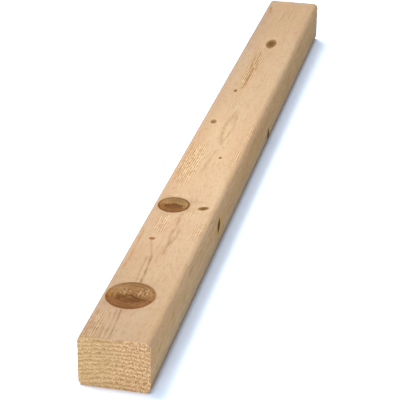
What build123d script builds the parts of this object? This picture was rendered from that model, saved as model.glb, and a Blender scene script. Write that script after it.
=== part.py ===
from build123d import *

import os

# Driving dimensions, in millimetres.
WIDTH = 50.0  # across the wide face, along X
THICKNESS = 38.0  # between the two wide faces, along Z
LENGTH = 700.0  # between the two sawn ends, along Y
ARRIS_RADIUS = 4.3  # planed rounding along each of the four long edges


def planed_section():
    """The outline left by the planer, upright across the grain, its lower edge at Z = 0."""
    outline = RectangleRounded(WIDTH, THICKNESS, ARRIS_RADIUS)
    return Plane.XZ * Pos(0, THICKNESS / 2) * outline


def timber_plank():
    """One length of softwood, planed on four faces and sawn square at both ends.

    It lies on a wide face, and the origin is the middle of that face.
    """
    return extrude(planed_section(), amount=LENGTH / 2, both=True)


os.makedirs("parts", exist_ok=True)
export_step(timber_plank(), "parts/timber_plank.step")
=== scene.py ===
import math
from collections import namedtuple

import bpy
import numpy as np
from mathutils import Matrix, Vector, noise

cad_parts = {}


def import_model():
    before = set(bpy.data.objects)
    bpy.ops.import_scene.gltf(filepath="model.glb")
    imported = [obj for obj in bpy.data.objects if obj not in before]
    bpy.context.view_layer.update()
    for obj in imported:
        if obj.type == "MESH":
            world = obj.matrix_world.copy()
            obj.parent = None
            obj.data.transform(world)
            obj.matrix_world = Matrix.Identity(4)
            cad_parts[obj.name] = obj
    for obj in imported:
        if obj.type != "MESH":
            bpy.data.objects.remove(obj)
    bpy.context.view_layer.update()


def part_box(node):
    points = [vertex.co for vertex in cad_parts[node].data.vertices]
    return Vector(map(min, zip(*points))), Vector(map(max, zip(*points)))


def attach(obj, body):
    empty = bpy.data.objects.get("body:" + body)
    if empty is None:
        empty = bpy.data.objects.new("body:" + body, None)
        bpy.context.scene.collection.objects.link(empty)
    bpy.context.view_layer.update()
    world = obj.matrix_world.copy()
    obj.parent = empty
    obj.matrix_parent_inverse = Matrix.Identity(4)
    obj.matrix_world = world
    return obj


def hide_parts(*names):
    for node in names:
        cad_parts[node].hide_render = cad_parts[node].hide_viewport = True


# A planed length of knotty softwood on a pale floor. Sizes are in metres, in the frame of the CAD
# model, and the tables that say so are in millimetres.
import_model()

MM = 0.001

# The board. Its overall size is the CAD solid's, and the rounding of its long edges repeats it.
LOW, HIGH = (np.array(corner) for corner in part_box("timber_plank"))
WIDTH, LENGTH, THICKNESS = HIGH - LOW
ARRIS_RADIUS = 4.3 * MM
NEAR_END = LOW[1]

# Places in the wood are measured across from the middle, along from the near end, and up.

# Growth. The heart of the tree runs along the board, below it.
HEART_ACROSS = 3.5 * MM
HEART_UP = -109 * MM
HEART_CLIMB = 5 * MM  # how much nearer the heart comes from the near end to the far one
HEART_WANDER = 1.5 * MM
# How many times it wanders to and fro in the board's length, and where in that the near end is.
WANDER_ACROSS = (1.3, 0.1)
WANDER_UP = (0.8, 0.3)
RING_WIDTH = 3.3 * MM
RING_UNEVENNESS = 0.5  # in rings
UNEVEN_STRETCH = 5 * MM  # how far out from the heart the rings stay wide, or narrow
LATE_PHASE = 0.85  # where in a ring its late wood stands highest
# The rings waver. Each wave has its size across and along the board, and its height.
RING_WAVES = [
    (24 * MM, 260 * MM, 0.9 * MM),
    (9 * MM, 150 * MM, 0.35 * MM),
    (3.5 * MM, 80 * MM, 0.22 * MM),
]
# A knot's branch pushes the rings outwards. The bulge is in rings, for a knot with the half width
# given, and its reach and stretch along the board are in shares of the knot.
RING_BULGE = 1.2
BULGE_HALF_WIDTH = 17 * MM
BULGE_REACH = math.sqrt(0.8)
BULGE_STRETCH = 1.5

# A swell lifts the rings under the upper face, which shows as closed loops in the grain.
Swell = namedtuple("Swell", "across along half_width half_length rings")
SWELLS = [
    Swell(1.2 * MM, 356 * MM, 4.5 * MM, 30 * MM, 1.0),
    Swell(3.2 * MM, 150 * MM, 4.5 * MM, 18 * MM, 1.1),
    Swell(8.0 * MM, 470 * MM, 4.0 * MM, 40 * MM, 0.6),
]
SWELL_DEPTH = 10 * MM

# A knot is where a branch leaves the board. Its half width and half length are what shows on the
# face that it comes out of. turn is in degrees, and dead is 0 for red sound wood and 1 for a dry twig.
Knot = namedtuple("Knot", "across along up half_width half_length turn dead")
TOP = THICKNESS
RIGHT = WIDTH / 2
KNOTS = [
    Knot(-4.2 * MM, 59.4 * MM, TOP, 18.1 * MM, 19.6 * MM, 0, 0.0),
    Knot(-8.7 * MM, 203.7 * MM, TOP, 12.7 * MM, 13.8 * MM, 0, 0.25),
    Knot(14.7 * MM, 202.6 * MM, TOP, 4.4 * MM, 3.0 * MM, 36, 0.62),
    Knot(-11.2 * MM, 145.5 * MM, TOP, 2.4 * MM, 2.3 * MM, 5, 0.45),
    Knot(-0.4 * MM, 570.6 * MM, TOP, 4.7 * MM, 12.6 * MM, 0, 0.6),
    Knot(7.6 * MM, 297.5 * MM, TOP, 1.4 * MM, 2.4 * MM, 0, 0.5),
    Knot(-13.8 * MM, 370.0 * MM, TOP, 2.5 * MM, 4.4 * MM, 0, 0.5),
    Knot(-9.7 * MM, 444.0 * MM, TOP, 1.5 * MM, 3.4 * MM, 0, 0.45),
    Knot(RIGHT, 212.0 * MM, 20.0 * MM, 0.95 * MM, 5.0 * MM, 0, 1.0),
    Knot(RIGHT, 422.5 * MM, 8.0 * MM, 1.0 * MM, 4.6 * MM, 0, 1.0),
]
BRANCH_LEAN = 0.16  # how far a branch climbs along the board for each unit it grows outwards
BRANCH_LEAST = 0.05  # how thin it is at the heart, as a share of what shows
# How far a branch pushes the fibres beside it apart, and how much further along than across.
FIBRE_PUSH = 0.85
FIBRE_STRETCH = 1.7
FAR = 9.0  # stands for any distance at which a knot or a line no longer shows

# The dark heart of each big knot, by its number in KNOTS, as an outline in shares of the knot's half
# width and half length.
HEARTS = {
    0: [(-0.62, 0.02), (-0.33, -0.06), (0.02, 0.04), (0.24, -0.10), (0.72, -0.20), (0.35, -0.50),
        (-0.10, -0.52), (-0.48, -0.36)],
    1: [(-0.67, -0.08), (-0.31, 0.05), (0.06, 0.27), (0.31, 0.05), (0.62, 0.05), (0.56, -0.38),
        (-0.05, -0.52), (-0.51, -0.33)],
}

# A face of the board: which way it is measured across, which way out of it is, and how far out it is.
Face = namedtuple("Face", "across out reach")
ACROSS, UP = 0, 2
TOP_FACE = Face(ACROSS, UP, THICKNESS)
UNDERSIDE = Face(ACROSS, UP, 0.0)
RIGHT_FACE = Face(UP, ACROSS, WIDTH / 2)
LEFT_FACE = Face(UP, ACROSS, -WIDTH / 2)

# A line is a crack, or a thin seam of resin or bark, in the upper face. It runs through its places,
# in millimetres, with its corners rounded. tone is -1 for a black crack, 0 for brown, 1 for orange.
Line = namedtuple("Line", "half_width strength tone places")
LINES = [
    Line(0.85, 0.35, 0.4, [(-11, 143), (-8.6, 134), (-6.4, 126), (-4.9, 117)]),
    Line(0.88, 0.82, 0.1, [(-4.9, 119), (-3.6, 104), (-2.9, 92), (-2.4, 79)]),
    Line(0.75, 0.45, 0.1, [(-8.3, 117), (-7.4, 112), (-7.1, 98), (-6.2, 79)]),
    Line(0.70, 0.40, 0.2, [(-11.5, 34), (-10.6, 20), (-10.4, 0)]),
    Line(0.75, 0.45, 0.1, [(-8.2, 38), (-7.4, 24), (-7.2, 0)]),
    Line(0.80, 0.55, 0.0, [(-5.4, 39), (-4.6, 26), (-3.8, 12), (-3.6, 0)]),
    Line(0.80, 0.60, 1.0, [(-20.6, 158), (-20.2, 137), (-19.3, 121), (-19.6, 108), (-20.3, 96)]),
    Line(0.80, 0.45, 0.9, [(-20.4, 34), (-20.7, 15), (-20.6, 0)]),
    Line(0.80, 0.40, 1.0, [(-20.2, 325), (-19.6, 300), (-19.9, 262), (-19.2, 240)]),
    Line(1.40, 0.80, 1.0, [(-20.0, 679), (-19.0, 670), (-18.0, 661)]),
    Line(0.60, 0.95, 0.45, [(-5.6, 547), (-5.3, 520), (-4.4, 492), (-4.7, 470), (-5.3, 450)]),
    Line(0.60, 0.60, 0.3, [(-8.8, 545), (-8.2, 522), (-7.2, 500)]),
    Line(0.60, 0.60, 0.3, [(-6.9, 516), (-6.6, 496), (-6.9, 474)]),
    Line(0.60, 0.55, 0.3, [(-3.7, 538), (-3.2, 515), (-2.4, 498)]),
    Line(0.55, 0.30, 0.3, [(-2.2, 492), (-2.8, 470), (-3.0, 455)]),
    Line(0.70, 0.30, 0.0, [(-2.8, 668), (-3.6, 652), (-4.4, 636)]),
    Line(1.60, 0.28, 0.3, [(1.6, 314), (0.6, 300), (-0.6, 284), (-1.8, 262)]),
    Line(1.50, 0.36, 0.35, [(1.4, 398), (0.4, 387), (-1.8, 376), (-2.4, 358), (-0.9, 342), (2.2, 324)]),
    Line(1.30, 0.27, 0.35, [(2.2, 390), (4.6, 379), (5.4, 362), (4.3, 345), (2.4, 332)]),
    Line(1.20, 0.38, 0.25, [(1.0, 190), (0.8, 180), (2.4, 172), (1.4, 161), (0.4, 152), (3.0, 139)]),
    Line(1.20, 0.32, 0.25, [(3.6, 166), (5.6, 157), (5.2, 149), (3.4, 141), (1.6, 129), (3.6, 122)]),
    Line(0.85, 1.00, -0.7, [(-13.4, 61.3), (-10.0, 57.5), (-3.8, 60.5), (0.0, 56.9), (6.5, 55.4)]),
    Line(0.60, 0.70, -0.7, [(-15.6, 202.5), (-12.5, 204.2), (-8.0, 207.2), (-5.0, 204.4), (-1.2, 204.2)]),
]
LINE_DEPTH = 1.5 * MM

# A stain is a soft patch on a face, and fades out under it; some of them are painted shade and a few
# painted highlights. The wood's colour is multiplied by its tint. Its place and size are in millimetres.
StainOrShade = namedtuple("StainOrShade", "across along half_width half_length strength tint")
WHOLE = 3000
SHADE_AND_TONES_ON_TOP = [
    # Painted shade: a dark line on the left edge's rounding, and greyer bands beside both long edges.
    StainOrShade(-25, 350, 2.4, WHOLE, 1.0, (0.74, 0.77, 0.80)),
    StainOrShade(-21, 350, 6, WHOLE, 0.8, (0.93, 0.95, 1.01)),
    StainOrShade(21, 350, 6, WHOLE, 0.8, (0.95, 0.97, 1.00)),
    # Painted shade, darker towards the near end.
    StainOrShade(0, 0, 60, 170, 0.9, (0.86, 0.86, 0.88)),
    StainOrShade(-15, 18, 7, 22, 0.6, (1.00, 0.95, 0.90)),
    # Painted shade, darker along the left edge in the near half.
    StainOrShade(-21, 150, 7, 200, 0.8, (0.97, 0.94, 0.90)),
    StainOrShade(-18, 290, 6, 45, 0.8, (1.02, 0.99, 0.95)),
    StainOrShade(0, 300, 12, 90, 0.7, (1.03, 1.09, 1.08)),
    StainOrShade(-17, 340, 6, 60, 0.6, (0.98, 0.96, 0.95)),
    # Painted shade, here and at 480 mm along: darker towards the far end.
    StainOrShade(2, 420, 30, 34, 0.7, (0.95, 0.96, 0.96)),
    StainOrShade(-21, 465, 5, 35, 0.6, (1.01, 0.96, 0.96)),
    StainOrShade(0, 480, 30, 90, 0.6, (0.93, 0.94, 0.92)),
    StainOrShade(-20, 555, 6, 50, 0.7, (1.02, 0.97, 0.97)),
    # Painted shade, darker and greyer along the left edge in the far part.
    StainOrShade(-21, 560, 8, 110, 0.8, (0.94, 0.97, 1.00)),
    StainOrShade(-6, 684, 14, 4, 0.7, (1.02, 0.90, 0.85)),
]
ON_NEAR_KNOT = [
    StainOrShade(-4, 43, 13, 4, 0.9, (0.90, 0.90, 0.86)),
    StainOrShade(6, 48, 5, 3, 0.8, (1.24, 1.28, 1.32)),
    StainOrShade(-18.9, 57.5, 2.2, 3.5, 0.9, (1.10, 1.02, 0.50)),
    StainOrShade(-15, 60, 4, 8, 0.7, (1.06, 1.07, 1.07)),
    StainOrShade(-3.6, 62.5, 2.8, 3.6, 0.9, (0.74, 0.65, 0.61)),
    StainOrShade(-4, 73, 11, 4, 0.9, (0.78, 0.71, 0.67)),
]
ON_SECOND_KNOT = [
    StainOrShade(-8.7, 193.5, 8, 3, 0.7, (0.84, 0.84, 0.80)),
    StainOrShade(-9, 201, 7, 3.6, 0.8, (0.86, 0.83, 0.78)),
    StainOrShade(-6.5, 202.5, 3.0, 2.6, 0.8, (0.84, 0.82, 0.76)),
    StainOrShade(-17, 203, 3.4, 7, 0.8, (1.18, 1.11, 1.09)),
    StainOrShade(-8.7, 203.5, 13.5, 14, 1.0, (0.84, 0.87, 0.86)),
    StainOrShade(0.6, 203, 1.1, 6, 0.8, (1.25, 1.30, 1.34)),
    StainOrShade(3.0, 204, 1.2, 8, 0.8, (0.75, 0.70, 0.62)),
    StainOrShade(-2.6, 208, 2.6, 3, 0.8, (1.02, 1.04, 1.06)),
    StainOrShade(-8.5, 213, 8, 4, 0.9, (0.68, 0.67, 0.65)),
    StainOrShade(-8, 221, 10, 2.5, 0.9, (1.09, 1.10, 1.06)),
]
BESIDE_SECOND_KNOT = [
    StainOrShade(8, 199, 4, 3, 0.9, (0.93, 0.86, 0.82)),
    StainOrShade(12.8, 201.6, 2.6, 2.2, 0.7, (0.82, 0.80, 0.72)),
    StainOrShade(17, 204, 3, 2.4, 0.8, (1.12, 1.17, 1.24)),
    StainOrShade(4, 211, 5, 4, 0.8, (0.93, 0.90, 0.88)),
    StainOrShade(11, 213, 4, 2, 0.9, (0.90, 0.87, 0.84)),
]
ON_FAR_KNOT = [
    StainOrShade(-0.4, 561, 5, 4, 0.6, (1.22, 1.24, 1.30)),
    StainOrShade(-0.4, 570, 5, 13, 0.7, (1.10, 1.14, 1.18)),
    StainOrShade(-0.4, 570, 9, 26, 0.8, (1.04, 1.04, 1.01)),
    StainOrShade(-0.2, 573.5, 4.2, 4, 1.0, (0.70, 0.65, 0.57)),
]
ON_SMALL_KNOTS = [
    StainOrShade(-11.2, 145.5, 3, 4, 0.7, (1.18, 1.22, 1.22)),
    StainOrShade(7.6, 297.5, 3.2, 6, 0.6, (1.05, 1.06, 1.04)),
    StainOrShade(-13.8, 370, 3, 5, 0.7, (1.10, 1.18, 1.30)),
]
# Short marks in the loops of grain down the middle, and two by themselves.
MARKS = [
    StainOrShade(4.0, 9.5, 1.6, 1.8, 0.8, (0.84, 0.80, 0.74)),
    StainOrShade(-7.4, 114, 1.2, 3, 0.7, (0.80, 0.70, 0.60)),
    StainOrShade(2.4, 125, 2.2, 5, 0.8, (0.91, 0.84, 0.79)),
    StainOrShade(3.1, 140, 2.0, 5, 0.9, (0.82, 0.75, 0.67)),
    StainOrShade(5.4, 149.5, 1.8, 3, 0.8, (0.89, 0.81, 0.75)),
    StainOrShade(3.2, 159, 1.4, 3, 0.7, (1.05, 1.05, 1.06)),
    StainOrShade(1.3, 160, 2.0, 3, 0.8, (0.88, 0.80, 0.73)),
    StainOrShade(8.6, 176.7, 2, 2.4, 0.8, (0.90, 0.86, 0.82)),
    StainOrShade(0.9, 181, 1.4, 5, 0.8, (0.88, 0.83, 0.78)),
    StainOrShade(0.5, 333, 2.2, 8, 0.6, (0.92, 0.90, 0.85)),
    StainOrShade(2.5, 352, 2.6, 9, 0.6, (1.01, 0.96, 0.89)),
    StainOrShade(1.8, 380, 3.2, 11, 0.9, (0.90, 0.86, 0.79)),
]
# On the right and left sides across runs upwards. The right side's last two are on its knots.
LIGHT_SHADE_AND_KNOTS_ON_RIGHT_SIDE = [
    # Painted shade along the bottom: darker and bluer at the foot, a dark contact line, then painted
    # bluish bounce light above it.
    StainOrShade(0, 350, 7, WHOLE, 0.9, (0.80, 0.86, 0.98)),
    StainOrShade(2.6, 350, 2.2, WHOLE, 1.0, (0.52, 0.53, 0.55)),
    StainOrShade(9, 350, 7, WHOLE, 0.8, (0.97, 1.06, 1.13)),
    # Painted warm light, yellower up the side, and a painted highlight on the upper rounding.
    StainOrShade(24, 350, 16, WHOLE, 1.0, (1.02, 0.99, 0.85)),
    StainOrShade(35.5, 350, 3, WHOLE, 1.0, (1.16, 1.14, 1.14)),
    # Painted light, lighter towards the near end, then painted shade, darker and warmer in the middle of
    # the length.
    StainOrShade(20, 0, 30, 110, 0.9, (1.18, 1.17, 1.15)),
    StainOrShade(24, 300, 9, 110, 0.8, (1.00, 0.96, 0.90)),
    StainOrShade(20, 350, 14, 130, 0.8, (0.92, 0.90, 0.86)),
    StainOrShade(20, 525, 9, 12, 0.6, (0.88, 0.82, 0.74)),
    StainOrShade(20, 212, 7, 9, 0.9, (1.00, 0.91, 0.46)),
    StainOrShade(8, 422, 6, 7, 0.6, (0.88, 0.86, 0.74)),
]
SHADE_AND_WARM_LIGHT_ON_LEFT_SIDE = [
    # Painted shade, a dark contact line along the bottom, and painted warm light, yellower up the side.
    StainOrShade(1.5, 350, 2.4, WHOLE, 1.0, (0.70, 0.70, 0.72)),
    StainOrShade(24, 350, 16, WHOLE, 1.0, (0.98, 0.96, 0.86)),
]
ON_UNDERSIDE = [
    StainOrShade(0, 350, 30, WHOLE, 1.0, (0.97, 0.95, 0.88)),
]
STAINS_AND_SHADE = {
    TOP_FACE: SHADE_AND_TONES_ON_TOP + ON_NEAR_KNOT + ON_SECOND_KNOT + BESIDE_SECOND_KNOT + ON_FAR_KNOT
    + ON_SMALL_KNOTS + MARKS,
    RIGHT_FACE: LIGHT_SHADE_AND_KNOTS_ON_RIGHT_SIDE,
    LEFT_FACE: SHADE_AND_WARM_LIGHT_ON_LEFT_SIDE,
    UNDERSIDE: ON_UNDERSIDE,
}
STAIN_AND_SHADE_DEPTH = 6 * MM

# Zones of the upper face where the grain stands in fine, even lines and short flecks, with places
# and sizes in millimetres. The last two are curls in a knot.
Zone = namedtuple("Zone", "across along half_width half_length strength")
ZONES = [
    Zone(-19, 14, 8, 26, 0.8),
    Zone(-13.5, 281, 9.5, 50, 1.0),
    Zone(19, 303, 5, 15, 0.7),
    Zone(-10, 172, 6.5, 20, 0.9),
    Zone(18.8, 163, 4.2, 18, 0.65),
    Zone(-5.5, 498, 6.5, 58, 0.95),
    Zone(22, 350, 3.5, 28, 0.5),
    Zone(7, 193, 5, 6, 0.5),
    Zone(-2, 414, 8, 14, 0.35),
    Zone(11, 106, 5, 9, 0.3),
    Zone(6, 14, 5, 12, 0.25),
    Zone(3.4, 64.3, 4.8, 7.5, 1.0),
    Zone(-8.7, 64.9, 5.0, 4.2, 0.75),
]
ZONE_EDGE = (0.55, 1.1)  # where a zone starts to fade and where it ends, in shares of its size
ZONE_DEPTH = 4 * MM

# The mesh. Its cells are small enough to carry the relief, and smaller still round the knots.
CELLS_ACROSS = 64
CELLS_UP = 46
FINE_ROW = 0.7 * MM
COARSE_ROW = 4 * MM
END_ROW = FINE_ROW / 2
ROW_GROWTH = 0.3  # how fast the rows widen away from a knot or an end
KNOT_MARGIN = 2 * MM  # the finest rows go on this far past a knot
BAKE_STRIPS = 4  # the map for baking lays the long sides out in this many strips, in two columns
BAKE_GUTTER = 2 * MM
TINY = 1e-12  # added where a division by 0, or a rounding just under a whole number, could be

# Relief, all of it cut into the CAD box.
RING_RELIEF = 0.05 * MM
KNOT_RIM = (0.95, 1.1)  # where the relief of the rings starts outside a knot, in shares of its size
KNOT_GROOVE = 0.15 * MM
GROOVE_WIDTH = 0.06  # in shares of the knot
CRACK_DEPTH = 0.5 * MM
CRACK_SPREAD = 1.6  # in half widths of the line
CHIP_DEPTH = 0.35 * MM
CHIP_REACH = 1.2 * MM
CHIP_GRAIN = (2.2 * MM, 400 * MM)
CHIP_LEVELS = (0.0, 0.7)  # the noise at which a corner starts to chip, and is chipped fully
SAW_RELIEF = 0.15 * MM
TOOTH_GRAIN = (1.3 * MM, 1000 * MM)
TOOTH_SHARE = 0.6  # of the relief of a sawn end, and the rest follows its rings

# Each use of noise in the shape starts somewhere else in it, so that no two are alike.
WAVE_SEED = 3.7
UNEVEN_SEED = 1.3
TOOTH_SEED = 5.5
CHIP_SEED = 9.3


# Growth rings, knots and fibres, as numbers at any point of the wood


def smooth_step(value, low, high):
    """0 up to low, 1 from high on and a smooth change between them."""
    share = np.clip((value - low) / (high - low), 0, 1)
    return share * share * (3 - 2 * share)


def noise_at(places, across, along, seed):
    """Smooth noise, about -1 to 1, with grains of the given size across and along the board."""
    scaled = places / np.array([across, along, across]) + seed
    return np.array([noise.noise(Vector(place)) for place in scaled])


def wander(share, times, start):
    """How far the heart has wandered at a share of the board's length."""
    return HEART_WANDER * np.sin(2 * math.pi * (times * share + start))


def heart(along):
    """Where the heart of the tree runs, across the board and up, at each distance along it."""
    share = along / LENGTH
    across = HEART_ACROSS + wander(share, *WANDER_ACROSS)
    up = HEART_UP + HEART_CLIMB * share + wander(share, *WANDER_UP)
    return across, up


def way_out(knot):
    """The heart's place where a knot's branch starts, the way the branch grows, and how far."""
    start = np.array(heart(knot.along))
    out = np.array([knot.across, knot.up]) - start
    reach = np.linalg.norm(out)
    return start, out / reach, reach


def in_knot(knot, places):
    """Where places lie in a knot's branch, across and along it, as shares of its radius there."""
    start, out, reach = way_out(knot)
    from_heart = places[:, [0, 2]] - start
    outward = from_heart @ out
    sideways = from_heart @ (out[1], -out[0])
    taper = np.maximum(outward / reach, BRANCH_LEAST)
    along = places[:, 1] - knot.along - BRANCH_LEAN * (outward - reach)
    turn = math.radians(knot.turn)
    u = sideways * math.cos(turn) + along * math.sin(turn)
    v = along * math.cos(turn) - sideways * math.sin(turn)
    return u / (knot.half_width * taper), v / (knot.half_length * taper)


def outline_distance(u, v, outline):
    """How far (u, v) lies from a closed outline. It is negative inside."""
    corners = np.array(outline)
    ends = np.roll(corners, -1, 0)
    inside = np.zeros(len(u), bool)
    for (u0, v0), (u1, v1) in zip(corners, ends):
        crosses = (v0 > v) != (v1 > v)
        inside ^= crosses & (u < u0 + (v - v0) * (u1 - u0) / (v1 - v0 + TINY))
    gap = line_distance(u, v, np.vstack([corners, corners[:1]]))
    return np.where(inside, -gap, gap)


def line_distance(x, y, places):
    """How far (x, y) lies from a line through places."""
    best = np.full(len(x), np.inf)
    for (x0, y0), (x1, y1) in zip(places[:-1], places[1:]):
        run_x, run_y = x1 - x0, y1 - y0
        share = np.clip(((x - x0) * run_x + (y - y0) * run_y) / (run_x**2 + run_y**2), 0, 1)
        best = np.minimum(best, np.hypot(x - x0 - share * run_x, y - y0 - share * run_y))
    return best


def rounded(places, times=2):
    """A line's places with its corners cut, the given number of times."""
    line = np.array(places, float)
    for _ in range(times):
        starts, ends = line[:-1], line[1:]
        cut = np.stack([0.75 * starts + 0.25 * ends, 0.25 * starts + 0.75 * ends], 1).reshape(-1, 2)
        line = np.vstack([line[:1], cut, line[-1:]])
    return line


def nearest_knot(places):
    """For each place, how far along the nearest knot it lies and how far from its middle, in shares
    of the knot, how dead the knot is, and how far outside its dark heart the place is."""
    best = np.tile([0.0, FAR, 1.0, 1.0], (len(places), 1))
    for number, knot in enumerate(KNOTS):
        u, v = in_knot(knot, places)
        radius = np.hypot(u, v)
        to_heart = outline_distance(u, v, HEARTS[number]) if number in HEARTS else np.ones(len(u))
        found = np.stack([v, radius, np.full(len(u), knot.dead), to_heart], 1)
        nearer = radius < best[:, 1]
        best[nearer] = found[nearer]
    return best


def growth_rings(places):
    """The age of the wood, in rings from the heart. The rings bulge outwards round a knot."""
    heart_across, heart_up = heart(places[:, 1])
    radius = np.hypot(places[:, 0] - heart_across, places[:, 2] - heart_up)
    for number, (across, along, height) in enumerate(RING_WAVES):
        radius = radius + height * noise_at(places, across, along, WAVE_SEED + number)
    shell = np.stack([radius, 0 * radius, 0 * radius], 1)
    uneven = noise_at(shell, UNEVEN_STRETCH, UNEVEN_STRETCH, UNEVEN_SEED)
    age = radius / RING_WIDTH + RING_UNEVENNESS * uneven
    for knot in KNOTS:
        u, v = in_knot(knot, places)
        bulge = RING_BULGE * knot.half_width / BULGE_HALF_WIDTH
        age = age - bulge * np.exp(-((np.hypot(u, v / BULGE_STRETCH) / BULGE_REACH) ** 2))
    depth = THICKNESS - places[:, 2]
    for swell in SWELLS:
        u = (places[:, 0] - swell.across) / swell.half_width
        v = (places[:, 1] - swell.along) / swell.half_length
        age = age + swell.rings * np.exp(-(u**2) - v**2) * np.exp(-depth / SWELL_DEPTH)
    return age


def fibres(places):
    """Where the fibre through each place would lie if no knot pushed it aside."""
    straight = places.copy()
    for knot in KNOTS:
        u, v = in_knot(knot, places)
        push = FIBRE_PUSH * u * knot.half_width / np.sqrt(1 + np.hypot(u, v / FIBRE_STRETCH) ** 4)
        _, out, _ = way_out(knot)
        straight[:, 0] -= push * out[1]
        straight[:, 2] += push * out[0]
    return straight


def nearest_line(places):
    """For each place, how far it is from the nearest line in half widths, and that line's strength
    there and tone."""
    best = np.tile([FAR, 0.0, 0.0], (len(places), 1))
    depth = THICKNESS - places[:, 2]
    x, y = places[:, 0] / MM, places[:, 1] / MM
    for line in LINES:
        gap = line_distance(x, y, rounded(line.places)) / line.half_width
        strength = line.strength * (1 - smooth_step(depth, 0, LINE_DEPTH))
        nearer = gap < best[:, 0]
        best[nearer] = np.stack([gap, strength, np.full(len(gap), line.tone)], 1)[nearer]
    return best


def stain_and_shade_tint(places):
    """What stains, painted shade and painted light multiply the wood's colour by at each place."""
    tint = np.ones((len(places), 3))
    for face, stains_and_shade in STAINS_AND_SHADE.items():
        fade = np.exp(-np.abs(places[:, face.out] - face.reach) / STAIN_AND_SHADE_DEPTH)
        for stain_and_shade in stains_and_shade:
            u = (places[:, face.across] / MM - stain_and_shade.across) / stain_and_shade.half_width
            v = (places[:, 1] / MM - stain_and_shade.along) / stain_and_shade.half_length
            share = stain_and_shade.strength * np.exp(-(u**2) - v**2) * fade
            tint *= 1 + share[:, None] * (np.array(stain_and_shade.tint) - 1)
    return tint


def fine_zone(places):
    """How far each place is in a zone of fine lines, from 0 to 1."""
    share = np.zeros(len(places))
    depth = THICKNESS - places[:, 2]
    for zone in ZONES:
        u = (places[:, 0] / MM - zone.across) / zone.half_width
        v = (places[:, 1] / MM - zone.along) / zone.half_length
        share = np.maximum(share, zone.strength * (1 - smooth_step(np.hypot(u, v), *ZONE_EDGE)))
    return share * (1 - smooth_step(depth, 0, ZONE_DEPTH))


# The board's mesh


def side(flat, radius, cells):
    """One side of a rounded rectangle, from the middle of one corner to the middle of the next:
    the distance along it, the distance out from its flat, and the angle that it faces."""
    half = flat / 2 + radius * math.pi / 4
    travel = np.linspace(-half, half, cells + 1)
    angle = np.clip((np.abs(travel) - flat / 2) / radius, 0, None)
    along = np.where(angle > 0, flat / 2 + radius * np.sin(angle), np.abs(travel))
    return np.sign(travel) * along, radius * (np.cos(angle) - 1), np.sign(travel) * angle


def outline():
    """The section's four sides, each a list of places and a list of ways out, anticlockwise from
    the lower left corner as seen from the near end."""
    sides = []
    level, upright = (WIDTH, THICKNESS, CELLS_ACROSS), (THICKNESS, WIDTH, CELLS_UP)
    for turn, (size, reach, cells) in enumerate([level, upright] * 2):
        along, out, angle = side(size - 2 * ARRIS_RADIUS, ARRIS_RADIUS, cells)
        run = np.array([math.cos(turn * math.pi / 2), math.sin(turn * math.pi / 2)])
        away = np.array([run[1], -run[0]])
        places = along[:, None] * run + (reach / 2 + out)[:, None] * away
        facing = np.sin(angle)[:, None] * run + np.cos(angle)[:, None] * away
        sides.append((places + (0, THICKNESS / 2), facing))
    return sides


def row_places():
    """Distances from the near end, close together where a knot shows and wide apart elsewhere."""
    places = [0.0]
    while places[-1] < LENGTH:
        gaps = [COARSE_ROW]
        for knot in KNOTS:
            away = max(abs(places[-1] - knot.along) - knot.half_length - KNOT_MARGIN, 0)
            gaps.append(FINE_ROW + ROW_GROWTH * away)
        for end in (0, LENGTH):
            gaps.append(END_ROW + ROW_GROWTH * abs(places[-1] - end))
        places.append(places[-1] + min(gaps))
    places = np.array(places) * LENGTH / places[-1]
    for strip in range(1, BAKE_STRIPS):
        split = strip * LENGTH / BAKE_STRIPS
        places[np.argmin(np.abs(places - split))] = split
    return places


def ring_ridge(places):
    """How far each place is up a ring's late wood, from 0 to 1."""
    return 0.5 + 0.5 * np.cos(2 * math.pi * (growth_rings(places) - LATE_PHASE))


def long_relief(places):
    """How deep the planed surface lies under the CAD's at each place."""
    radius = nearest_knot(places)[:, 1]
    gap, strength, tone = nearest_line(places).T
    ring = RING_RELIEF * (1 - ring_ridge(places)) * smooth_step(radius, *KNOT_RIM)
    groove = KNOT_GROOVE * np.exp(-(((radius - 1) / GROOVE_WIDTH) ** 2))
    crack = CRACK_DEPTH * np.clip(-tone, 0, 1) * strength * np.exp(-((gap / CRACK_SPREAD) ** 2))
    to_end = np.minimum(places[:, 1], LENGTH - places[:, 1])
    chipped = smooth_step(noise_at(places, *CHIP_GRAIN, CHIP_SEED), *CHIP_LEVELS)
    chips = CHIP_DEPTH * chipped * np.exp(-((to_end / CHIP_REACH) ** 2))
    return ring + groove + crack + chips


def end_relief(places):
    """How deep the sawn end lies under the CAD's at each place."""
    tooth = 0.5 + 0.5 * noise_at(places, *TOOTH_GRAIN, TOOTH_SEED)
    return SAW_RELIEF * (TOOTH_SHARE * tooth + (1 - TOOTH_SHARE) * ring_ridge(places))


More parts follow.
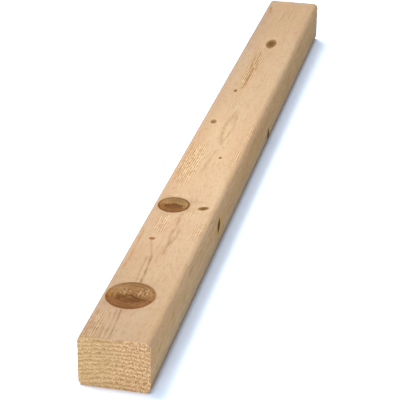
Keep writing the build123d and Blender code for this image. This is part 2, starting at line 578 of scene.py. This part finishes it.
def board_mesh():
    """The long sides as one skin, cut in by the relief, with a grid across each sawn end."""
    sides = outline()
    section = np.concatenate([places[:-1] for places, facing in sides])
    facing = np.concatenate([ways[:-1] for places, ways in sides])
    rows = row_places()
    count = len(section)

    surface = np.empty((len(rows), count, 3))
    surface[:, :, [0, 2]] = section
    surface[:, :, 1] = rows[:, None]
    ends = [end_grid(sides, along) for along in (0.0, LENGTH)]
    places = np.concatenate([surface.reshape(-1, 3)] + ends)

    shown = surface.copy()
    depth = long_relief(surface.reshape(-1, 3)).reshape(len(rows), count)
    shown[:, :, [0, 2]] -= depth[:, :, None] * facing
    shown[0, :, 1] += end_relief(surface[0])
    shown[-1, :, 1] -= end_relief(surface[-1])
    sunk_ends = [end + np.outer(end_relief(end), (0, inward, 0)) for end, inward in zip(ends, (1, -1))]
    shown = np.concatenate([shown.reshape(-1, 3)] + sunk_ends)
    shown[:, 1] += NEAR_END

    skin = skin_faces(len(rows), count)
    last_row = (len(rows) - 1) * count
    near = end_faces(0, len(rows) * count)
    far = end_faces(last_row, len(rows) * count + len(ends[0]))[:, ::-1]
    faces = np.concatenate([skin, near, far])

    mesh = bpy.data.meshes.new("timber_plank_surface")
    mesh.from_pydata(shown.tolist(), [], faces.tolist())
    mesh.polygons.foreach_set("use_smooth", np.ones(len(faces), bool))
    mesh.polygons.foreach_set("material_index", (np.arange(len(faces)) >= len(skin)).astype(int))
    sharpen_rims(mesh, count, last_row)
    flat = np.concatenate([np.tile(np.abs(facing[:, 1]), len(rows)), np.zeros(2 * len(ends[0]))])
    write_fields(mesh, places, flat)
    write_bake_map(mesh, section, rows, places, faces, len(skin))
    return mesh


def sharpen_rims(mesh, count, last_row):
    """Keeps the edges where the long sides meet the sawn ends sharp."""
    for edge in mesh.edges:
        first, second = sorted(edge.vertices)
        along_rim = second - first in (1, count - 1)
        edge.use_edge_sharp = along_rim and (second < count or last_row <= first < last_row + count)


def skin_faces(rows, count):
    """The faces of the long sides, row by row, from their points' numbers."""
    first = np.arange(rows * count).reshape(rows, count)
    beside = np.roll(first, -1, 1)
    corners = np.stack([first[:-1], beside[:-1], beside[1:], first[1:]], -1)
    return corners.reshape(-1, 4)


def end_grid(sides, along):
    """The inner places of a sawn end, row by row from the bottom, between its four sides."""
    bottom, right, top, left = (places for places, facing in sides)
    top, left = top[::-1], left[::-1]
    across = np.linspace(0, 1, CELLS_ACROSS + 1)[None, 1:-1, None]
    up = np.linspace(0, 1, CELLS_UP + 1)[1:-1, None, None]
    between_flats = (1 - up) * bottom[None, 1:-1] + up * top[None, 1:-1]
    between_edges = (1 - across) * left[1:-1, None] + across * right[1:-1, None]
    lower = (1 - across) * bottom[0] + across * bottom[-1]
    upper = (1 - across) * top[0] + across * top[-1]
    grid = between_flats + between_edges - (1 - up) * lower - up * upper
    inner = np.empty((grid.shape[0] * grid.shape[1], 3))
    inner[:, [0, 2]] = grid.reshape(-1, 2)
    inner[:, 1] = along
    return inner


def end_faces(rim_start, inner_start):
    """The faces of a sawn end, from the numbers of its rim's points and its inner ones."""
    index = np.empty((CELLS_UP + 1, CELLS_ACROSS + 1), int)
    rim = rim_start + np.arange(2 * (CELLS_ACROSS + CELLS_UP))
    right, top, left = np.cumsum([CELLS_ACROSS, CELLS_UP, CELLS_ACROSS])
    index[0, :] = rim[: right + 1]
    index[:, -1] = rim[right : top + 1]
    index[-1, ::-1] = rim[top : left + 1]
    index[1:, 0] = rim[left:][::-1]
    inner = inner_start + np.arange((CELLS_UP - 1) * (CELLS_ACROSS - 1))
    index[1:-1, 1:-1] = inner.reshape(CELLS_UP - 1, CELLS_ACROSS - 1)
    corners = np.stack([index[:-1, :-1], index[:-1, 1:], index[1:, 1:], index[1:, :-1]], -1)
    return corners.reshape(-1, 4)


def write_fields(mesh, places, flat):
    """Keeps on the mesh what the material needs to know about the wood at each of its points. flat
    is 1 where the surface faces up or down and 0 where it faces sideways."""
    knot = nearest_knot(places)
    fields = {
        "rings": growth_rings(places),
        "flat": flat,
        "fibre": fibres(places) / MM,
        "knot": knot[:, :3],
        "to_heart": knot[:, 3],
        "zone": fine_zone(places),
        "line": nearest_line(places),
        "stain_and_shade": stain_and_shade_tint(places),
    }
    for name, values in fields.items():
        kind, key = ("FLOAT", "value") if values.ndim == 1 else ("FLOAT_VECTOR", "vector")
        layer = mesh.attributes.new(name, kind, "POINT")
        layer.data.foreach_set(key, values.astype(np.float32).ravel())


def write_bake_map(mesh, section, rows, places, faces, skin_count):
    """A map that lays the long sides out flat in four strips, two by two, and the two ends above
    them, so that a baked texture has about as many pixels to each millimetre everywhere."""
    gutter = BAKE_GUTTER
    travel = np.append(0, np.cumsum(np.linalg.norm(np.roll(section, -1, 0) - section, axis=1)))
    round_section, strip = travel[-1], LENGTH / BAKE_STRIPS
    size = np.array([2 * round_section + 3 * gutter, 2 * strip + THICKNESS + 4 * gutter])
    row, column = np.divmod(np.arange(skin_count), len(section))
    quarter = np.minimum((rows[row] + TINY) // strip, BAKE_STRIPS - 1)
    start = [quarter % 2 * (round_section + gutter), quarter // 2 * (strip + gutter)]
    corner = gutter + np.column_stack(start)
    skin = np.empty((skin_count, 4, 2))
    for which, (beside, beyond) in enumerate(((0, 0), (1, 0), (1, 1), (0, 1))):
        skin[:, which, 0] = corner[:, 0] + travel[column + beside]
        skin[:, which, 1] = corner[:, 1] + rows[row + beyond] - quarter * strip
    ends = places[faces[skin_count:]]
    far = ends[:, :, 1] > LENGTH / 2
    ends_u = gutter + ends[:, :, 0] + WIDTH / 2 + far * (WIDTH + gutter)
    ends_v = 2 * strip + 3 * gutter + ends[:, :, 2]
    flat = np.concatenate([skin, np.stack([ends_u, ends_v], -1)]) / size
    mesh.uv_layers.new(name="OFBake").uv.foreach_set("vector", flat.astype(np.float32).ravel())


# Materials


def colour(red, green, blue):
    """A colour written as on a screen, 0 to 255, in Blender's linear values, by the sRGB curve."""
    linear = []
    for part in (red, green, blue):
        share = part / 255
        linear.append(share / 12.92 if share <= 0.04045 else ((share + 0.055) / 1.055) ** 2.4)
    return (*linear, 1.0)


class Number:
    """A number in a material's node tree. It is added and multiplied as a plain number is."""

    def __init__(self, graph, socket):
        self.graph, self.socket = graph, socket

    def __add__(self, other):
        return self.graph.maths("ADD", self, other)

    def __sub__(self, other):
        return self.graph.maths("SUBTRACT", self, other)

    def __rsub__(self, other):
        return self.graph.maths("SUBTRACT", other, self)

    def __mul__(self, other):
        return self.graph.maths("MULTIPLY", self, other)

    def __truediv__(self, other):
        return self.graph.maths("DIVIDE", self, other)

    __radd__, __rmul__ = __add__, __mul__


class Graph:
    """One material's node tree, with a short call for each kind of node that it uses."""

    def __init__(self, name):
        self.material = bpy.data.materials.new(name)
        self.material.use_nodes = True
        self.nodes = self.material.node_tree.nodes
        self.links = self.material.node_tree.links
        self.nodes.clear()

    def node(self, kind, **settings):
        made = self.nodes.new(kind)
        for name, value in settings.items():
            setattr(made, name, value)
        return made

    def feed(self, socket, value):
        if isinstance(value, Number):
            value = value.socket
        if isinstance(value, bpy.types.NodeSocket):
            self.links.new(value, socket)
        else:
            socket.default_value = value

    def maths(self, operation, *values):
        made = self.node("ShaderNodeMath", operation=operation)
        for socket, value in zip(made.inputs, values):
            self.feed(socket, value)
        return Number(self, made.outputs[0])

    def smooth(self, value, low, high):
        """0 at low, 1 at high and a smooth change between them."""
        made = self.node("ShaderNodeMapRange", interpolation_type="SMOOTHSTEP")
        falling = low > high
        for name, given in (("Value", value), ("From Min", min(low, high)), ("From Max", max(low, high))):
            self.feed(made.inputs[name], given)
        made.inputs["To Min"].default_value = 1.0 if falling else 0.0
        made.inputs["To Max"].default_value = 0.0 if falling else 1.0
        return Number(self, made.outputs["Result"])

    def band(self, value, start, full, fading, end):
        """0 at start, 1 from full to fading, and 0 again at end."""
        return self.smooth(value, start, full) * self.smooth(value, end, fading)

    def field(self, name):
        """What write_fields kept under that name."""
        return self.node("ShaderNodeAttribute", attribute_name=name).outputs

    def value(self, name):
        """The single number that write_fields kept under that name."""
        return Number(self, self.field(name)["Fac"])

    def parts(self, name):
        split = self.node("ShaderNodeSeparateXYZ")
        self.links.new(self.field(name)["Vector"], split.inputs[0])
        return [Number(self, socket) for socket in split.outputs]

    def here(self):
        """The place itself in millimetres, which no knot pushes aside: across, along and up."""
        split = self.node("ShaderNodeSeparateXYZ")
        self.links.new(self.node("ShaderNodeTexCoord").outputs["Object"], split.inputs[0])
        return [Number(self, socket) / MM for socket in split.outputs]

    def place(self, across, along, up):
        made = self.node("ShaderNodeCombineXYZ")
        for socket, value in zip(made.inputs, (across, along, up)):
            self.feed(socket, value)
        return made.outputs[0]

    def noise(self, place, detail, roughness=0.5):
        """Smooth noise from 0 to 1, with a grain about one unit wide."""
        made = self.node("ShaderNodeTexNoise")
        self.feed(made.inputs["Vector"], place)
        made.inputs["Scale"].default_value = 1.0
        made.inputs["Detail"].default_value = detail
        made.inputs["Roughness"].default_value = roughness
        return Number(self, made.outputs["Fac"])

    def grains(self, parts, grain):
        """Noise with grains of a given size, from a place's parts across, along and up."""
        across, along, up = parts
        place = self.place(across / grain.across, along / grain.along, up / grain.across)
        return self.noise(place, grain.detail, grain.roughness)

    def mix(self, share, first, second, blend="MIX"):
        made = self.node("ShaderNodeMix", data_type="RGBA", blend_type=blend)
        self.feed(made.inputs["Factor"], share)
        self.feed(made.inputs[MIX_FIRST], first)
        self.feed(made.inputs[MIX_SECOND], second)
        return made.outputs[MIX_RESULT]

    def lay(self, top, base, value, low, high, share=1.0):
        """The colour top over base: none of it where value is at low, and share of it at high."""
        return self.mix(self.smooth(value, low, high) * share, base, top)

    def surface(self, base, roughness, height, depth):
        """The shader itself. height is 0 to 1, and depth is what 1 stands for, in metres."""
        shader = self.node("ShaderNodeBsdfPrincipled")
        self.feed(shader.inputs["Base Color"], base)
        self.feed(shader.inputs["Roughness"], roughness)
        shader.inputs["Specular IOR Level"].default_value = SPECULAR
        bump = self.node("ShaderNodeBump")
        bump.inputs["Distance"].default_value = depth
        self.feed(bump.inputs["Height"], height)
        self.links.new(bump.outputs["Normal"], shader.inputs["Normal"])
        output = self.node("ShaderNodeOutputMaterial")
        self.links.new(shader.outputs[0], output.inputs["Surface"])
        return self.material


PALE_WOOD = colour(229, 198, 162)
WARM_WOOD = colour(225, 190, 152)
PINK_WOOD = colour(226, 188, 156)
LATE_WOOD = colour(203, 161, 118)
FIBRE_SHADE = colour(186, 140, 95)
FLECK_PALE = colour(248, 220, 180)
RESIN_BROWN = colour(148, 108, 62)
RESIN_RED = colour(205, 128, 72)
CRACK_BLACK = colour(88, 56, 26)
KNOT_TAN = colour(191, 149, 100)
KNOT_BROWN = colour(163, 113, 72)
KNOT_PALE = colour(218, 176, 130)
HEART_DARK = colour(122, 78, 40)
DEAD_BROWN = colour(140, 104, 56)
DEAD_DARK = colour(72, 42, 4)
END_WOOD = colour(222, 184, 132)
END_WARM = colour(234, 185, 138)
END_PALE = colour(255, 222, 176)
END_LATE = colour(168, 126, 78)

SPECULAR = 0.03
PLANED_ROUGHNESS = 0.88
LATE_SMOOTHER = 0.08  # how much less rough late wood is
KNOT_SMOOTHER = 0.12  # and a knot
SAWN_ROUGHNESS = 0.85
PLANED_BUMP = 0.04 * MM
SAWN_BUMP = 0.25 * MM
MIX_FIRST, MIX_SECOND, MIX_RESULT = 6, 7, 2  # the sockets for colours on a mix node

# The noise that each feature of the wood is drawn with: how wide and how long its grains are, in
# millimetres, and how much finer noise is added to them.
Grain = namedtuple("Grain", "across along detail roughness", defaults=(0.5,))
BROAD_TONE = Grain(14, 150, 2)
BLUSH = Grain(9, 26, 1)
FLAME = Grain(0.9, 45, 2)
RING_PATCH = Grain(8, 60, 1)
MOTTLE = Grain(2.4, 5.5, 1)
STREAK = Grain(2.0, 80, 2, 0.6)
FINE_FIBRE = Grain(0.8, 14, 3, 0.65)
COMB_SWAY = Grain(6, 60, 1)
DASH = Grain(0.8, 3.8, 0)
KNOT_SPECK = Grain(0.6, 1.7, 0)
KNOT_BLOTCH = Grain(3.5, 4.5, 2)
KNOT_STREAK = Grain(5, 1.6, 1)
LINE_FEATHER = Grain(0.9, 9, 2)
LINE_FADE = Grain(2, 14, 1)
END_TONE = Grain(14, 1, 1)

# How strongly a feature shows on the sides of the board, and on its upper and lower faces.
LATE_SHOWS = (0.5, 0.14)
STREAKS_SHOW = (0.65, 0.17)
FIBRES_SHOW = (0.78, 0.36)

FLAME_SHIFT = 0.45  # how far the flames shift the line of a ring, in rings
COMB_GAP = 1.7  # between the fine, even lines of a zone, in millimetres
COMB_BEND = 6  # how far these lines sway, in radians
COMB_SHARE = 0.65  # how much of the flecks comes from these lines
DASH_SHARE = 2.0  # and how much from short dashes
KNOT_EDGE = 0.97  # where a knot's colour ends, as a share of its size
KNOT_RINGS = 6  # drawn inside a knot
# How wide the edge of a knot is, and how dark its rim, in a sound knot and in a dead one.
KNOT_EDGE_WIDTH = (0.05, 0.45)
RIM_SHOWS = (0.25, 2.05)
LINE_REACH = 1.6  # where a line's colour ends, in half widths of the line
LINE_RAGGED = 1.8  # how far its edge strays

# On a sawn end the grains lie along the growth rings: how wide they are, in millimetres, and how
# many of them there are to each ring.
EndGrain = namedtuple("EndGrain", "across to_a_ring detail")
END_COARSE = EndGrain(2.4, 1.1, 2)
END_DASH = EndGrain(1.0, 2.8, 1)
END_BAND = EndGrain(11, 0.95, 1)
END_DOT_WIDTH = 0.9
END_DOT_HEIGHT = 1.2
# How far the coarse and the fine grains shift the line of a ring there, in rings.
COARSE_SHIFT = 1.1
DASH_SHIFT = 0.5
# Where the end turns warmer, and where rougher, across it in millimetres.
END_WARMER = (-10, 12)
END_ROUGHER = (-6, 14)
WARMER_STRAYS = 22


def between(share, low, high):
    """low where share is 0, high where it is 1, and in proportion between them."""
    return low + (high - low) * share


def plain_wood(graph, here, fibre, rings, flat, zone):
    """The colour of wood with no knot near, how dark its late wood is, and its fine fibres."""
    base = graph.lay(WARM_WOOD, PALE_WOOD, graph.grains(fibre, BROAD_TONE), 0.3, 0.7)
    base = graph.lay(PINK_WOOD, base, graph.grains(fibre, BLUSH), 0.45, 0.7, 0.6)
    phase = graph.maths("FRACT", rings + FLAME_SHIFT * (graph.grains(fibre, FLAME) - 0.5))
    late = graph.band(phase, 0.3, 0.93, 0.95, 1.0)
    patch = graph.grains(fibre, RING_PATCH)
    base = graph.lay(LATE_WOOD, base, patch, 0.25, 0.65, late * between(flat, *LATE_SHOWS))
    base = graph.lay(LATE_WOOD, base, graph.grains(here, MOTTLE), 0.5, 0.75, 0.3)
    streaks = graph.grains(fibre, STREAK)
    base = graph.lay(FIBRE_SHADE, base, streaks, 0.5, 0.8, between(flat, *STREAKS_SHOW))
    fine = graph.grains(fibre, FINE_FIBRE)
    base = graph.lay(FIBRE_SHADE, base, fine, 0.48, 0.75, between(flat, *FIBRES_SHOW))
    sway = graph.grains(fibre, COMB_SWAY)
    comb = graph.maths("SINE", here[0] * (2 * math.pi / COMB_GAP) + sway * COMB_BEND)
    fleck = COMB_SHARE * comb + DASH_SHARE * (graph.grains(here, DASH) - 0.5)
    base = graph.lay(FIBRE_SHADE, base, fleck, 0.05, 0.75, zone)
    base = graph.lay(FLECK_PALE, base, fleck, -0.05, -0.75, zone * 0.85)
    return base, late, fine


def knot_wood(graph, here, v, radius, dead, to_heart, zone):
    """The colour inside a knot and the share of it that shows, from the place in the knot."""
    speck = graph.grains(here, KNOT_SPECK)
    blotch = graph.grains(here, KNOT_BLOTCH)
    streak = graph.grains(here, KNOT_STREAK)
    edge = radius - KNOT_EDGE + 0.04 * (blotch - 0.5)
    width = between(graph.smooth(dead, 0.25, 0.5), *KNOT_EDGE_WIDTH)
    shown = graph.smooth(edge / width, 0.5, -0.5)
    base = graph.lay(KNOT_BROWN, KNOT_TAN, v + 0.8 * (blotch - 0.5), 0.35, -0.45)
    phase = graph.maths("FRACT", (radius + 0.15 * blotch) * KNOT_RINGS)
    rings = graph.band(phase, 0.2, 0.7, 0.75, 1.0)
    base = graph.lay(HEART_DARK, base, streak, 0.35, 0.6, rings * 0.62)
    curls = graph.smooth(to_heart, -0.05, 0.06) * zone * 0.9
    base = graph.lay(KNOT_PALE, base, speck, 0.51, 0.58, curls)
    base = graph.lay(HEART_DARK, base, speck, 0.54, 0.44, between(zone, 0.12, 0.62))
    streaked = between(graph.smooth(streak, 0.45, 0.6), 0.95, 0.35)
    base = graph.lay(HEART_DARK, base, to_heart + 0.3 * (speck - 0.5), 0.05, -0.06, streaked)
    rim = radius + 0.12 * (speck - 0.5)
    base = graph.lay(HEART_DARK, base, rim, 0.80, 0.92, between(dead, *RIM_SHOWS))
    twig = graph.lay(DEAD_DARK, DEAD_BROWN, radius + 0.4 * (speck - 0.5), 0.8, 0.2)
    return graph.lay(twig, base, dead, 0.3, 0.9), shown


def with_lines(graph, base, fibre):
    """The colour base with the cracks and the seams of resin and bark drawn on it."""
    gap, strength, tone = graph.parts("line")
    feather = graph.grains(fibre, LINE_FEATHER)
    fade = graph.grains(fibre, LINE_FADE)
    ragged = gap + LINE_RAGGED * (feather - 0.5)
    line = graph.smooth(ragged, LINE_REACH, 0.0) * strength * graph.smooth(fade, 0.2, 0.6)
    tint = graph.lay(RESIN_RED, RESIN_BROWN, tone, 0, 1)
    tint = graph.lay(CRACK_BLACK, tint, tone, 0, -1)
    return graph.mix(line, base, tint)


def planed_wood():
    """The material of the long faces and the rounded edges."""
    graph = Graph("planed_softwood")
    rings, flat, to_heart, zone = map(graph.value, ("rings", "flat", "to_heart", "zone"))
    here = graph.here()
    fibre = graph.parts("fibre")
    v, radius, dead = graph.parts("knot")
    base, late, fine = plain_wood(graph, here, fibre, rings, flat, zone)
    inside, shown = knot_wood(graph, here, v, radius, dead, to_heart, zone)
    base = graph.mix(shown, base, inside)
    # The stains, and the painted shade and light along the edges, ends and sides, multiply the colour.
    base = graph.mix(1.0, base, graph.field("stain_and_shade")["Color"], blend="MULTIPLY")
    base = with_lines(graph, base, fibre)
    roughness = PLANED_ROUGHNESS - LATE_SMOOTHER * late - KNOT_SMOOTHER * shown
    return graph.surface(base, roughness, fine * 0.7 + late * 0.3, PLANED_BUMP)


def end_grains(graph, across, along, rings, grain):
    """Noise whose grains lie along the growth rings of a sawn end."""
    return graph.noise(graph.place(across / grain.across, along, rings * grain.to_a_ring), grain.detail)


def sawn_wood():
    """The material of the two sawn ends."""
    graph = Graph("sawn_softwood")
    rings = graph.value("rings")
    across, along, up = graph.parts("fibre")
    coarse = end_grains(graph, across, along, rings, END_COARSE)
    dashes = end_grains(graph, across, along, rings, END_DASH)
    bands = end_grains(graph, across, along, rings, END_BAND)
    dots = graph.noise(graph.place(across / END_DOT_WIDTH, along, up / END_DOT_HEIGHT), detail=1)
    broad = graph.grains((across, along, up), END_TONE)
    rough = graph.smooth(across, *END_ROUGHER)
    phase = graph.maths("FRACT", rings + COARSE_SHIFT * (coarse - 0.5) + DASH_SHIFT * (dashes - 0.5))
    late = graph.band(phase, 0.4, 0.7, 0.8, 1.0)
    early = graph.band(phase, 0.0, 0.2, 0.3, 0.5)
    base = graph.lay(END_WARM, END_WOOD, across + WARMER_STRAYS * (broad - 0.5), *END_WARMER)
    base = graph.lay(END_LATE, base, bands, 0.48, 0.66, 0.15)
    base = graph.lay(END_PALE, base, bands, 0.48, 0.32, 0.15)
    base = graph.lay(END_PALE, base, coarse, 0.5, 0.64, 0.2)
    base = graph.lay(END_LATE, base, coarse, 0.5, 0.36, 0.2)
    base = graph.mix(late * between(rough, 0.42, 0.62), base, END_LATE)
    base = graph.mix(early * between(rough, 0.25, 0.40), base, END_PALE)
    base = graph.lay(END_PALE, base, dashes, 0.51, 0.64, between(rough, 0.35, 0.70))
    base = graph.lay(END_LATE, base, dashes, 0.49, 0.36, between(rough, 0.35, 0.75))
    base = graph.lay(END_PALE, base, dots, 0.54, 0.7, 0.25)
    base = graph.lay(END_LATE, base, dots, 0.46, 0.3, 0.25)
    return graph.surface(base, SAWN_ROUGHNESS, dashes, SAWN_BUMP)


def board():
    """The whole board as one surface, in the place of the CAD solid."""
    mesh = board_mesh()
    mesh.materials.append(planed_wood())
    mesh.materials.append(sawn_wood())
    piece = bpy.data.objects.new("planed_timber", mesh)
    bpy.context.scene.collection.objects.link(piece)
    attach(piece, "root")
    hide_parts("timber_plank")


# Stage, light and camera

# The floor's colour as the camera sees it, which is lit past white, and as painted contact shade
# close against the board, then in reflections and as a light on the board.
FLOOR_TO_CAMERA = (1.58, 1.88, 2.38, 1.0)
FLOOR_CONTACT_SHADE = (0.62, 0.48, 0.36, 1.0)
FLOOR_IN_GLOSS = (1.0, 1.0, 1.0, 1.0)
FLOOR_BOUNCE = (0.70, 0.78, 0.90, 1.0)
CONTACT_REACH = 3.4 * MM  # how near the board the floor darkens under it
FLOOR_REACH = 4.0  # from the middle to each side
FLOOR_CORNERS = [(-1, -1), (1, -1), (1, 1), (-1, 1)]
SKY = 0.40  # how bright the sky is as a light

# The lamps. A sun's place only says which way it shines from, towards its target. Its power is in
# watts to the square metre, and a spot's is in watts.
Lamp = namedtuple("Lamp", "name kind place target power settings")
BEAM = {"spot_size": math.radians(31), "spot_blend": 1.0, "shadow_soft_size": 0.2}
CENTRE = (0, 0, 0)
LAMPS = [
    Lamp("overhead", "SUN", (-0.45, 0.42, 1), CENTRE, 0.455 * math.pi, {"angle": math.radians(30)}),
    Lamp("front", "SUN", (-0.15, -1, 0.10), CENTRE, 0.43 * math.pi, {"angle": math.radians(16)}),
    Lamp("middle", "SPOT", (-0.5, -0.09, 1.4), (0, -0.09, 0), 29, BEAM),
]


def rays_of(nodes, links, *names):
    """1 for rays of the named kinds, and 0 for others."""
    rays = nodes.new("ShaderNodeLightPath")
    total = rays.outputs[names[0]]
    for name in names[1:]:
        either = nodes.new("ShaderNodeMath")
        either.operation = "MAXIMUM"
        links.new(total, either.inputs[0])
        links.new(rays.outputs[name], either.inputs[1])
        total = either.outputs[0]
    return total


def floor():
    """A wide floor, seen lit past white, with the board's shadow and painted contact shade on it."""
    mesh = bpy.data.meshes.new("floor")
    corners = [(across * FLOOR_REACH, along * FLOOR_REACH, 0) for across, along in FLOOR_CORNERS]
    mesh.from_pydata(corners, [], [(0, 1, 2, 3)])
    graph = Graph("floor_paper")
    shader = graph.node("ShaderNodeBsdfDiffuse")
    by_gloss = rays_of(graph.nodes, graph.links, "Is Glossy Ray", "Is Transmission Ray")
    by_camera = rays_of(graph.nodes, graph.links, "Is Camera Ray")
    unseen = graph.mix(by_gloss, FLOOR_BOUNCE, FLOOR_IN_GLOSS)
    # Painted contact shade: ambient occlusion darkens the floor's colour close against the board.
    contact_shade = graph.node("ShaderNodeAmbientOcclusion")
    contact_shade.inputs["Distance"].default_value = CONTACT_REACH
    seen = graph.mix(contact_shade.outputs["AO"], FLOOR_CONTACT_SHADE, FLOOR_TO_CAMERA)
    graph.feed(shader.inputs["Color"], graph.mix(by_camera, unseen, seen))
    output = graph.node("ShaderNodeOutputMaterial")
    graph.links.new(shader.outputs[0], output.inputs["Surface"])
    mesh.materials.append(graph.material)
    plane = bpy.data.objects.new("floor", mesh)
    bpy.context.scene.collection.objects.link(plane)


def add_lamp(lamp):
    """Puts a lamp in its place, turned to its target."""
    data = bpy.data.lights.new(lamp.name, lamp.kind)
    data.energy = lamp.power
    for key, value in lamp.settings.items():
        setattr(data, key, value)
    made = bpy.data.objects.new(lamp.name, data)
    made.location = lamp.place
    made.rotation_euler = (Vector(lamp.target) - Vector(lamp.place)).to_track_quat("-Z", "Y").to_euler()
    bpy.context.scene.collection.objects.link(made)


def world():
    """An even white sky: plain white to the camera, and dimmer as a light."""
    made = bpy.data.worlds.new("studio")
    made.use_nodes = True
    nodes, links = made.node_tree.nodes, made.node_tree.links
    background = nodes["Background"]
    background.inputs["Color"].default_value = (1, 1, 1, 1)
    strength = nodes.new("ShaderNodeMapRange")
    strength.inputs["To Min"].default_value = SKY
    strength.inputs["To Max"].default_value = 1.0
    seen = rays_of(nodes, links, "Is Camera Ray", "Is Glossy Ray", "Is Transmission Ray")
    links.new(seen, strength.inputs["Value"])
    links.new(strength.outputs["Result"], background.inputs["Strength"])
    bpy.context.scene.world = made


def lights():
    world()
    for lamp in LAMPS:
        add_lamp(lamp)


# The camera stands where the photograph was taken from. Turn, dip and tilt are in degrees: how far
# it looks to the right of the board's length, how far down, and how far it leans.
CAMERA_TURN = 12.367
CAMERA_DIP = 25.901
CAMERA_TILT = 0.780
IMAGE_WIDTH = 400
FOCAL_PIXELS = 1581.55
SENSOR_MM = 36
CLIP_START = 10 * MM
# The middle of the near end's lower edge, as the camera has it: to its right, ahead of it and up.
NEAR_END_SEEN = Vector((-56.73, 1045.75, -125.01)) * MM


def camera():
    """The camera, turned to the right, then down, then leant to one side."""
    turned = Matrix.Rotation(math.radians(CAMERA_TILT), 3, "Y")
    turned = turned @ Matrix.Rotation(math.radians(CAMERA_DIP), 3, "X")
    turned = turned @ Matrix.Rotation(-math.radians(CAMERA_TURN), 3, "Z")
    right, ahead, up = turned
    place = Vector((0, NEAR_END, 0)) - turned.transposed() @ NEAR_END_SEEN
    data = bpy.data.cameras.new("camera")
    data.sensor_width = SENSOR_MM
    data.lens = FOCAL_PIXELS / IMAGE_WIDTH * SENSOR_MM
    data.clip_start = CLIP_START
    made = bpy.data.objects.new("camera", data)
    made.matrix_world = Matrix.Translation(place) @ Matrix((right, up, -ahead)).transposed().to_4x4()
    bpy.context.scene.collection.objects.link(made)
    bpy.context.scene.camera = made


board()
floor()
lights()
camera()
bpy.context.scene.view_settings.view_transform = "Standard"
